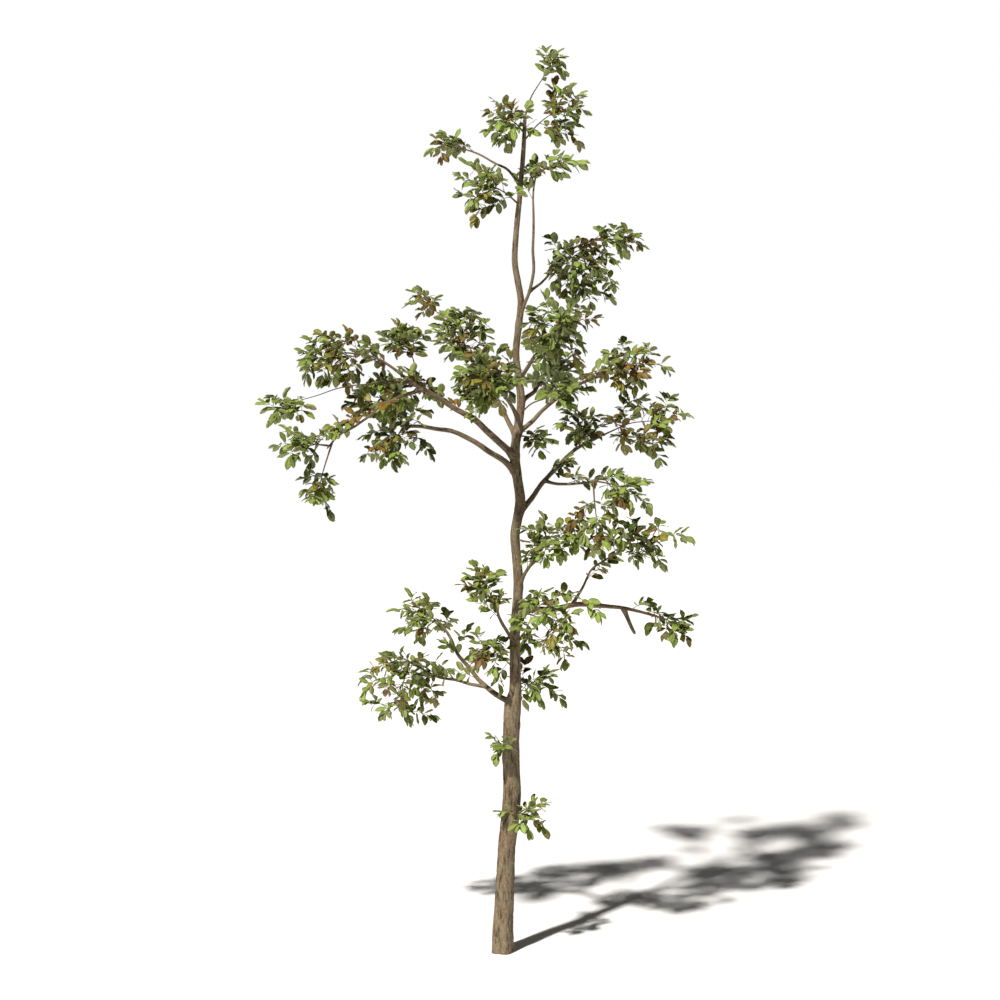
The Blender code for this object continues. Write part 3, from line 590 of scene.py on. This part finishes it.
def reliefNoise(kind, place, shift):
    width, length = reliefLook[kind]
    x, y, z = place
    return noise.noise(Vector((x / width, y / width, z / length)) + shift)


def barkRelief(depth, seed):
    shift = Vector((seed, seed * 2.7, seed * 1.3))

    def relief(places, radii):
        out = np.zeros(places.shape[:2])
        for row in range(places.shape[0]):
            reach = depth * max(float(radii[row, 0]), reliefLook["leastRadius"])
            for k in range(places.shape[1]):
                place = places[row, k]
                groove = math.exp(-((reliefNoise("furrow", place, shift) / reliefLook["grooveWidth"]) ** 2))
                flake = reliefLook["flakeShare"] * reliefNoise("flake", place, shift)
                lump = reliefLook["lumpShare"] * reliefNoise("lump", place, shift)
                out[row, k] = reach * (flake + lump + reliefLook["rise"] - groove)
        return out

    return relief


def flareRoots(points):
    x, y, z = points[:, 0].copy(), points[:, 1].copy(), points[:, 2]
    turn = np.arctan2(y, x)
    lobes = 1 - trunkLook["lobeDepth"] + trunkLook["lobeDepth"] * np.cos(trunkLook["flareLobes"] * turn)
    rise = np.clip(1 - z / trunkLook["flareHeight"], 0, 1) ** 2
    swell = trunkLook["flareReach"] * rise * lobes * (np.hypot(x, y) > trunkLook["flareFrom"])
    points[:, 0] += swell * np.cos(turn)
    points[:, 1] += swell * np.sin(turn)
    points[:, 2] = np.maximum(z, 0.0)


def swellAt(points, axis, places):
    # the surface rises round each place: (point, height, width, pit)
    outward = points - axis
    outward /= np.maximum(np.linalg.norm(outward, axis=1), 1e-6)[:, None]
    rise = np.zeros(len(points))
    for centre, height, width, pit in places:
        away = np.linalg.norm(points - np.array(centre), axis=1) / width
        rise += height * np.exp(-(away**2)) - pit * np.exp(-((away / trunkLook["pitWidth"]) ** 2))
    points += outward * rise[:, None]


def makeTrunk():
    line, radii = limbs["trunk"]
    path = smoothPath(line, radii, trunkLook["ringStep"])
    relief = barkRelief(trunkLook["depth"], trunkLook["seed"])
    points, faces, places = tubeShape(path, trunkLook["sides"], relief)
    axis = np.repeat(path[:, :3], trunkLook["sides"], axis=0)
    swellings = []
    for bough in boughs:
        if bough.parent == "trunk":
            boughLine, boughRadii = limbs[bough.name]
            out = (boughLine[1] - boughLine[0]).normalized()
            foot = boughLine[0] + out * float(np.interp(bough.at, path[:, 2], path[:, 3]))
            thick = boughRadii[0]
            swellings.append((foot, thick * trunkLook["collar"], thick * trunkLook["collarWidth"], 0.0))
    rng = random.Random("knots")
    plainFoot, plainTop = trunkLook["plainRings"]
    for k in range(trunkLook["knots"]):
        row = path[rng.randrange(plainFoot, len(path) - plainTop)]
        turn = rng.uniform(0, math.tau)
        out = Vector((math.cos(turn), math.sin(turn), 0)) * row[3]
        shape = [row[3] * trunkLook[part] for part in ("knotRise", "knotWidth", "knotPit")]
        swellings.append((Vector(row[:3]) + out, *shape))
    swellAt(points[:-2], axis, swellings)  # all but the two end centres
    flareRoots(points)
    gather = newGather()
    addShape(gather, points, faces, places)
    makePiece("trunkBark", gather, [barkFinish("oldBark", barkLook)], ["trunk"])


makeTrunk()


# Boughs: younger bark, darker and closer than the trunk's, on tapering limbs that swell at their feet

boughLook = {
    "sides": 18,
    "thinSides": 12,
    "thick": 0.034,
    "ringStep": 0.014,
    "footSwell": 0.55,
    "footLength": 0.030,
    "tipShare": 0.55,  # of its radius that a bough keeps at its very end
    "depth": 0.085,
    "firstSeed": 7.0,
    "seedStep": 1.9,
    "wander": 0.010,  # metres off the plain line, in bends about 0.2 m long
    "wanderLength": 0.20,
    "wanderSeed": 1,  # unseeded, the vector noise would bend the boughs anew on every run
    "bark": {**barkLook, "plate": "#74654f", "flake": "#93856a", "furrow": "#35291e", "rust": "#644735",
             "plateWidth": 0.012, "plateLength": 0.060, "flakeSize": 0.005},
    # a knob part of the way along: share of the length, swelling for the radius, length in metres
    "knobs": {"right_knee_bough": (0.62, 0.7, 0.030), "left_main_bough": (0.45, 0.18, 0.05),
              "right_low_bough": (0.55, 0.22, 0.04), "right_main_bough": (0.5, 0.2, 0.04)},
}


def radiusNear(parent, place):
    line, radii = limbs[parent]
    best = min(range(len(line)), key=lambda k: (line[k] - place).length)
    return radii[best]


def boughShape(bough, seed):
    line, radii = limbs[bough.name]
    path = smoothPath(line, radii, boughLook["ringStep"])
    past = np.maximum(path[:, 4] - radiusNear(bough.parent, line[0]), 0.0)
    path[:, 3] *= 1 + boughLook["footSwell"] * np.exp(-past / boughLook["footLength"])
    if bough.name in boughLook["knobs"]:
        share, swell, width = boughLook["knobs"][bough.name]
        path[:, 3] *= 1 + swell * np.exp(-(((path[:, 4] - share * path[-1, 4]) / width) ** 2))
    path[-1, 3] *= boughLook["tipShare"]
    for row in path:
        free = boughLook["wander"] * math.sin(math.pi * row[4] / path[-1, 4])
        row[:3] += np.array(noise.noise_vector(Vector(row[:3]) / boughLook["wanderLength"])) * free
    sides = boughLook["sides"] if bough.thick[0] > boughLook["thick"] else boughLook["thinSides"]
    return tubeShape(path, sides, barkRelief(boughLook["depth"], seed))


def makeBoughs():
    gather = newGather()
    noise.seed_set(boughLook["wanderSeed"])
    for k, bough in enumerate(boughs):
        addShape(gather, *boughShape(bough, boughLook["firstSeed"] + boughLook["seedStep"] * k))
    nodes = [bough.name for bough in boughs if bough.name != brokenStub]
    makePiece("boughBark", gather, [barkFinish("youngBark", boughLook["bark"])], nodes)


makeBoughs()


# Foliage: each mass has its stem, sprays that branch off it by rule, and leaves in pairs on them

sprayLook = {
    "density": 78.0,  # sprays for each square metre that a mass spreads over
    "fewest": 5,
    "denser": {"left_dense": 2.9, "left_broad": 2.7, "upper_right_body": 1.5, "upper_right_arm": 1.4,
               "upper_right_low": 1.3, "crown_tip": 2.2, "crown_right": 1.3, "crown_left_high": 1.2,
               "crown_left_tip": 1.8, "left_far": 1.7, "left_hanging": 1.3, "left_mid_high": 2.8,
               "left_tip_high": 1.5, "left_high": 1.6, "left_high_tip": 1.3, "right_low_tip": 1.3,
               "right_riser": 1.2, "low_front_tip": 1.2, "centre_hanging": 1.6, "trunk_sprouts": 0.8},
    "shortOfEdge": 0.07,
    "wider": 1.30,  # fine sprays spread this much wider than the space of the solid
    "turnSway": 0.3,
    "leastDeep": 0.35,  # a tip's least distance from the centre, as a share of the reach
    "deepStep": 0.618,
    "nearest": 0.25,
    "jointStep": 0.03,
    "bareJoints": 3,
    "bareShare": 6,  # the first sixth of a stem is bare
    "shortest": 0.05,
    "tipLift": 1.5,
    "sway": 0.1,
    "slant": 0.40,
    "lift": 0.06,
    "crook": 0.006,
    "step": 0.045,
    "thick": 0.0065,
    "thin": 0.0022,
    "leafyShare": 0.72,
    "leafyLength": 0.17,
    "pairStep": 0.032,
    "tipLeaves": 3,
    "pairAngle": 1.05,
    "leafLength": (0.066, 0.108),
    "roomToLimb": 0.010,
    "roomToSpray": 0.004,
    "inner": 0.6,  # sprays this near the centre of a mass turn brown more often
    "innerTimes": 2,
    # angles of the three tip leaves and of the pairs, in radians, and how far an aim tilts
    "tipAngle": 0.75,
    "tipSway": 0.25,
    "tipTilt": (-0.45, 0.35),
    "firstPair": 0.8,
    "pairTurn": 1.1,
    "pairTurnSway": 0.4,
    "pairSpread": (0.75, 1.25),
    "pairTilt": (-0.55, 0.30),
    "lookAhead": 0.05,
    "past": 1.42,  # fine sprays and leaves may pass a mass's own space by this much
    "proud": 0.045,  # and the solids' box by this much
    "strayTint": 0.35,  # how often a pair of leaves has another tint than its spray
}

# Leaf tints for each kind of mass; the kind with most Shade leaves is painted shade, for masses in the
# crown's shade
tintShares = {
    "fresh": {"Fresh": 50, "Deep": 34, "Shade": 5, "Olive": 9, "Rust": 1, "Brown": 1},
    "dark": {"Fresh": 26, "Deep": 36, "Shade": 26, "Olive": 8, "Rust": 2, "Brown": 2},
    "tinted": {"Fresh": 33, "Deep": 30, "Shade": 8, "Olive": 19, "Rust": 6, "Brown": 4},
}

leafShape = {
    "kinds": 14,
    "stalk": 0.09,  # of the blade's length
    # share of a leaf's length, and its half width there, between the two pointed ends
    "stations": [(0.0, 0.05), (0.12, 0.46), (0.30, 0.84), (0.52, 1.0), (0.74, 0.87), (0.91, 0.46)],
    "columns": (-1.0, -0.5, 0.0, 0.5, 1.0),
    "thickness": 0.011,  # of its length, in the middle
    "halfWidth": (0.235, 0.305),
    "fold": (0.05, 0.34),
    "droop": (-0.04, 0.26),
    "curl": (-0.30, 0.40),
    "curlShare": 0.25,
    "ripple": (0.018, 0.050),
    "rippleTurns": 11.0,
    "roll": 0.9,
    "steepest": 0.97,  # an aim nearer upright than this is nudged aside
    "nudge": (0.3, 0.1, 0.0),
    "middle": 0.55,
}


def leafTemplate(rng):
    fold = rng.uniform(*leafShape["fold"])
    droop = rng.uniform(*leafShape["droop"])
    curl = rng.uniform(*leafShape["curl"])
    ripple = rng.uniform(*leafShape["ripple"])
    phase = rng.uniform(0, math.tau)
    halfWidth = rng.uniform(*leafShape["halfWidth"])
    inner, columnPlaces = leafShape["stations"], leafShape["columns"]
    points, places = [], []

    def put(share, column, width, sink):
        v = column * width * halfWidth
        z = fold * abs(v) + curl * (column * width) ** 2 * leafShape["curlShare"]
        z -= droop * max(share, 0.0) ** 2
        wave = math.sin(phase + share * leafShape["rippleTurns"])
        z += ripple * abs(column) * wave * (1 if column > 0 else -1)
        points.append((share, v, z - sink))
        places.append((share, column))

    for share, width in inner:
        for column in columnPlaces:
            put(share, column, width, 0.0)
    put(-leafShape["stalk"], 0.0, 0.0, 0.0)
    put(1.0, 0.0, 0.0, 0.0)
    for share, width in inner:
        for column in columnPlaces[1:-1]:
            put(share, column, width, leafShape["thickness"])
    columns = len(columnPlaces)
    rows = len(inner)
    root, tip = rows * columns, rows * columns + 1

    def under(row, k):
        if k in (0, columns - 1):
            return row * columns + k
        return tip + 1 + row * (columns - 2) + k - 1

    faces, sides = [], []
    for row in range(rows - 1):
        for k in range(columns - 1):
            a, b = row * columns + k, (row + 1) * columns + k
            faces.append((a, b, b + 1, a + 1))
            faces.append((under(row, k), under(row, k + 1), under(row + 1, k + 1), under(row + 1, k)))
            sides += [0, 1]
    last = (rows - 1) * columns
    for k in range(columns - 1):
        faces.append((root, k, k + 1))
        faces.append((root, under(0, k + 1), under(0, k)))
        faces.append((tip, last + k + 1, last + k))
        faces.append((tip, under(rows - 1, k), under(rows - 1, k + 1)))
        sides += [0, 1, 0, 1]
    faces = [tuple(reversed(face)) for face in faces]
    return np.array(points), faces, np.array(places), sides


leafRandom = random.Random("leaf kinds")
leafTemplates = [leafTemplate(leafRandom) for k in range(leafShape["kinds"])]


def limbTree():
    # every limb as close points with their radius, to keep leaves off the bark
    spots = []
    for line, radii in limbs.values():
        spots += [tuple(row[:4]) for row in smoothPath(line, radii, limbRule["spotStep"])]
    tree = kdtree.KDTree(len(spots))
    for k, spot in enumerate(spots):
        tree.insert(spot[:3], k)
    tree.balance()
    return tree, spots


nearLimbs, limbSpots = limbTree()


def stretchOf(mass, point):
    return math.sqrt(sum(((p - c) / h) ** 2 for p, c, h in zip(point, mass.centre, mass.half)))


def fits(mass, point, room):
    proud = sprayLook["proud"]
    inside = all(low - proud < p < high + proud for low, p, high in zip(cadLow, point, cadHigh))
    if not inside or stretchOf(mass, point) > sprayLook["past"]:
        return False
    index, away = nearLimbs.find(point)[1:]
    return away > limbSpots[index][3] + room


def sprayTargets(mass, count, rng):
    golden = math.pi * (3 - math.sqrt(5))
    centre = Vector(mass.centre)
    targets = []
    for k in range(count):
        height = 1 - 2 * (k + 0.5) / count
        turn = golden * k + rng.uniform(-sprayLook["turnSway"], sprayLook["turnSway"])
        flat = math.sqrt(1 - height * height)
        ahead = Vector((flat * math.cos(turn), flat * math.sin(turn), height))
        least = sprayLook["leastDeep"]
        deep = least + (1 - least) * ((k * sprayLook["deepStep"]) % 1.0) ** 0.5
        reach = reachTo(mass, ahead) * sprayLook["wider"]
        out = max(sprayLook["nearest"] * reach, reach * deep - sprayLook["shortOfEdge"])
        targets.append(centre + ahead * out)
    return targets


def growSprays(mass, stem, rng):
    # each spray starts where the way along the wood and the way across to its tip are shortest
    width, depth, height = mass.half
    spread = width * depth + depth * height + height * width
    count = round(sprayLook["density"] * spread * sprayLook["denser"].get(mass.name, 1.0))
    start = stem[0]
    fine = spaced(stem, sprayLook["jointStep"])
    bare = max(sprayLook["bareJoints"], len(fine) // sprayLook["bareShare"])
    joints = [(p, sprayLook["jointStep"] * k) for k, p in enumerate(fine)][bare:]
    sprays = [stem]
    targets = sprayTargets(mass, max(sprayLook["fewest"], count), rng)
    for target in sorted(targets, key=lambda p: (p - start).length):
        foot, way = min(joints, key=lambda j: (j[0] - target).length + sprayLook["slant"] * j[1])
        length = (target - foot).length
        if length < sprayLook["shortest"]:
            continue
        lift = sprayLook["lift"] * length
        sway = rng.uniform(-sprayLook["sway"], sprayLook["sway"]) * length
        line = bowed(foot, target, (lift, lift * sprayLook["tipLift"]), (0.0, sway), sprayLook["step"])
        line = crooked(line, sprayLook["crook"], rng)
        if not all(fits(mass, p, sprayLook["roomToSpray"]) for p in line[2:]):
            continue
        joints += [(p, way + (p - foot).length) for p in line[1:-1]]
        sprays.append(line)
    return sprays


def leafMatrix(root, ahead, roll, length):
    upward = ahead.cross(up).normalized().cross(ahead)
    turn = Matrix((ahead, upward.cross(ahead), upward)).transposed() @ Matrix.Rotation(roll, 3, "X")
    return np.array(turn) * length, np.array(root)


def addLeaf(gathers, tint, mass, root, aim, rng):
    # 1 for a leaf placed, 0 for one that would reach too far or touch a limb
    length = rng.uniform(*sprayLook["leafLength"])
    roll = rng.uniform(-leafShape["roll"], leafShape["roll"])
    kind = rng.randrange(leafShape["kinds"])
    if abs(aim.normalized().z) > leafShape["steepest"]:
        aim = aim + Vector(leafShape["nudge"])
    ahead = aim.normalized()
    room = sprayLook["roomToLimb"]
    middle = root + ahead * length * leafShape["middle"]
    if not (fits(mass, middle, room) and fits(mass, root + ahead * length, room)):
        return 0
    turn, place = leafMatrix(root + ahead * length * leafShape["stalk"], ahead, roll, length)
    points, faces, places, sides = leafTemplates[kind]
    points = points @ turn.T + place
    least = np.array(cadLow) - sprayLook["proud"]
    most = np.array(cadHigh) + sprayLook["proud"]
    if (points.min(axis=0) < least).any() or (points.max(axis=0) > most).any():
        return 0
    addShape(gathers[tint], points, faces, places, sides)
    return 1


def pickTint(shares, rng):
    return rng.choices(list(shares), list(shares.values()))[0]


def dressSpray(gathers, mass, line, rng):
    shares = dict(tintShares[mass.tint])
    if stretchOf(mass, line[-1]) < sprayLook["inner"]:
        shares["Rust"] *= sprayLook["innerTimes"]
        shares["Brown"] *= sprayLook["innerTimes"]
    tint = pickTint(shares, rng)
    ahead = (line[-1] - line[-2]).normalized()
    placed = 0
    for k in range(sprayLook["tipLeaves"]):
        aim = ahead.copy()
        turn = (k - 1) * sprayLook["tipAngle"] + rng.uniform(-sprayLook["tipSway"], sprayLook["tipSway"])
        aim.rotate(Matrix.Rotation(turn, 3, "Z"))
        aim.z += rng.uniform(*sprayLook["tipTilt"])
        placed += addLeaf(gathers, tint, mass, line[-1], aim, rng)
    length = lengthOf(line)
    leafy = min(length * sprayLook["leafyShare"], sprayLook["leafyLength"])
    for k in range(int(leafy / sprayLook["pairStep"])):
        share = 1 - (k + sprayLook["firstPair"]) * sprayLook["pairStep"] / length
        root = along(line, share)
        ahead = sprayLook["lookAhead"]
        run = (along(line, min(1.0, share + ahead)) - along(line, share - ahead)).normalized()
        across = run.cross(up).normalized()
        sway = rng.uniform(-sprayLook["pairTurnSway"], sprayLook["pairTurnSway"])
        across.rotate(Matrix.Rotation((k % 2) * sprayLook["pairTurn"] + sway, 3, run))
        leafTint = pickTint(shares, rng) if rng.random() < sprayLook["strayTint"] else tint
        for way in (-1, 1):
            angle = sprayLook["pairAngle"] * rng.uniform(*sprayLook["pairSpread"])
            aim = run * math.cos(angle) + across * way * math.sin(angle)
            aim.z += rng.uniform(*sprayLook["pairTilt"])
            placed += addLeaf(gathers, leafTint, mass, root, aim, rng)
    return placed


# Short side shoots along the outer part of each bough
shootLook = {
    "from": 0.40,
    "to": 0.97,
    "step": 0.10,
    "stepSpread": (0.7, 1.3),
    "lookAhead": 0.02,
    "rise": 0.6,
    "length": (0.12, 0.27),
    "angles": (0.5, 1.2),
    "space": 0.26,
    "bare": ("right_low_bough", "right_low_stub", "left_low_bough", "second_stem", "top_left_bough"),
    "bareFrom": 0.80,
}


def growShoots(rng):
    # a list of shoots, each with the space it keeps to and the tint of the mass next to it
    shoots = []
    for bough in boughs:
        line = limbs[bough.name][0]
        length = lengthOf(line)
        share = shootLook["bareFrom"] if bough.name in shootLook["bare"] else shootLook["from"]
        while share < shootLook["to"] and bough.name != brokenStub:
            root = along(line, share)
            ahead = shootLook["lookAhead"]
            run = (along(line, share + ahead) - along(line, share - ahead)).normalized()
            side = run.orthogonal().normalized()
            side.rotate(Matrix.Rotation(rng.uniform(0, math.tau), 3, run))
            side.z = abs(side.z) * shootLook["rise"]
            angle = rng.uniform(*shootLook["angles"])
            tip = root + (run * math.cos(angle) + side * math.sin(angle)) * rng.uniform(*shootLook["length"])
            mass = min(masses, key=lambda m: (Vector(m.centre) - tip).length)
            space = mass._replace(centre=tuple(tip), half=(shootLook["space"],) * 3)
            lift = sprayLook["lift"] * (tip - root).length
            shoot = bowed(root, tip, (lift, lift), (0.0, 0.0), sprayLook["step"])
            if all(fits(space, p, sprayLook["roomToSpray"]) for p in shoot[2:]):
                shoots.append((space, shoot))
            share += shootLook["step"] * rng.uniform(*shootLook["stepSpread"]) / length
    return shoots


# Twig bark: thin, brown and finely cracked, so twigs read darker than the boughs
twigLook = {
    "sides": 6,
    "fineSides": 4,
    "ringStep": 0.035,
    "stemThick": 0.016,
    "stemTip": 0.004,
    "nearTip": 0.85,  # a stem from past this share of its bough carries the bough on
    "carriedShare": 0.96,
    "slimShare": 0.9,
    "bark": {**barkLook, "plate": "#67553f", "flake": "#7d6c4e", "furrow": "#352a1f", "rust": "#583d2b",
             "plateWidth": 0.006, "plateLength": 0.030, "flakeSize": 0.004},
}


def stemRadii(mass, stem):
    # as thick as the bough's tip where it takes over from it, then quickly slimmer
    carriesOn = mass.carrier != "trunk" and mass.at > twigLook["nearTip"]
    carried = limbs[mass.carrier][1][-1] if carriesOn else 0.0
    last = len(stem) - 1
    slim = twigLook["stemThick"] / 2 * twigLook["slimShare"]
    radii = [slim + (twigLook["stemTip"] / 2 - slim) * k / last for k in range(last + 1)]
    radii[0] = max(twigLook["stemThick"] / 2, carried * twigLook["carriedShare"])
    return radii


def addSpray(twigs, line):
    radii = tapered(line, sprayLook["thick"], sprayLook["thin"])
    path = smoothPath(line, radii, twigLook["ringStep"])
    addShape(twigs, *tubeShape(path, twigLook["fineSides"]))


def makeFoliage():
    gathers = {tint: newGather() for tint in leafLook["tints"]}
    twigs = newGather()
    total = 0
    for mass in masses:
        rng = random.Random(mass.name + " sprays")
        stem = stemLine(mass, limbs)
        sprays = growSprays(mass, stem, rng)
        path = smoothPath(stem, stemRadii(mass, stem), twigLook["ringStep"])
        addShape(twigs, *tubeShape(path, twigLook["sides"]))
        for line in sprays[1:]:
            addSpray(twigs, line)
        total += sum(dressSpray(gathers, mass, line, rng) for line in sprays)
    rng = random.Random("shoots")
    for space, line in growShoots(rng):
        addSpray(twigs, line)
        total += dressSpray(gathers, space, line, rng)
    print("leaves:", total)
    allNodes = [mass.name for mass in masses]
    makePiece("twigs", twigs, [barkFinish("twigBark", twigLook["bark"])], allNodes)
    upperSheen, lowerSheen = leafLook["sheen"]
    for tint, (upper, lower, blotched) in leafLook["tints"].items():
        finishes = [leafFinish("velvetLeaf" + tint, upper, blotched, upperSheen, leafLook),
                    leafFinish("velvetUnderside" + tint, lower, blotched, lowerSheen, leafLook)]
        makePiece("leaves" + tint, gathers[tint], finishes, [], leafy=True)


makeFoliage()


# Floor, light and camera

# The floor is matt white paper: it takes the shadow without gloss and blends with the white behind
stageLook = {
    "floor": "#fcfcfc",
    "floorSize": 120.0,
    "skyColour": "#ffffff",
    "sky": 0.06,
    "sunColour": "#fffbf6",
    "sun": 5.0,
    "sunAngle": 0.05,
    "shadowRun": (3.12, 5.35, -6.9),
}


def makeStage():
    mesh = bpy.data.meshes.new("floor")
    half = stageLook["floorSize"] / 2
    corners = [(-half, -half, 0), (half, -half, 0), (half, half, 0), (-half, half, 0)]
    mesh.from_pydata(corners, [], [(0, 1, 2, 3)])
    paper = {"Base Color": linear(stageLook["floor"]), "Roughness": 0.95}
    mesh.materials.append(newFinish("mattPaper", paper)[0])
    floor = bpy.data.objects.new("floor", mesh)
    bpy.context.scene.collection.objects.link(floor)
    light = bpy.data.lights.new("softSun", "SUN")
    light.energy = stageLook["sun"]
    light.angle = stageLook["sunAngle"]
    light.color = linear(stageLook["sunColour"])[:3]
    sun = bpy.data.objects.new("softSun", light)
    sun.rotation_euler = Vector(stageLook["shadowRun"]).to_track_quat("-Z", "Y").to_euler()
    bpy.context.scene.collection.objects.link(sun)
    world = bpy.data.worlds.new("studio")
    world.use_nodes = True
    tree = world.node_tree
    white = linear(stageLook["skyColour"])
    sky = tree.nodes["Background"]
    sky.inputs["Strength"].default_value = stageLook["sky"]
    sky.inputs["Color"].default_value = white
    backdrop = addNode(tree, "ShaderNodeBackground", {"Color": white, "Strength": 1.0})
    seen = addNode(tree, "ShaderNodeLightPath").outputs["Is Camera Ray"]
    mixed = addNode(tree, "ShaderNodeMixShader", {0: seen, 1: sky.outputs[0], 2: backdrop.outputs[0]})
    tree.links.new(mixed.outputs[0], tree.nodes["World Output"].inputs["Surface"])
    bpy.context.scene.world = world
    bpy.context.scene.view_settings.view_transform = "Standard"


cameraLook = {"place": (-0.023, -16.85, 4.39), "downward": 3.0, "lens": 79.2, "sensor": 36.0}


def makeCamera():
    lens = bpy.data.cameras.new("camera")
    lens.lens = cameraLook["lens"]
    lens.sensor_width = cameraLook["sensor"]
    camera = bpy.data.objects.new("camera", lens)
    camera.location = cameraLook["place"]
    camera.rotation_euler = (math.radians(90 - cameraLook["downward"]), 0, 0)
    bpy.context.scene.collection.objects.link(camera)
    bpy.context.scene.camera = camera


makeStage()
makeCamera()
print("stage and camera set")

bpy.context.view_layer.update()
print("cad box", [round(v, 3) for v in (*cadLow, *cadHigh)])
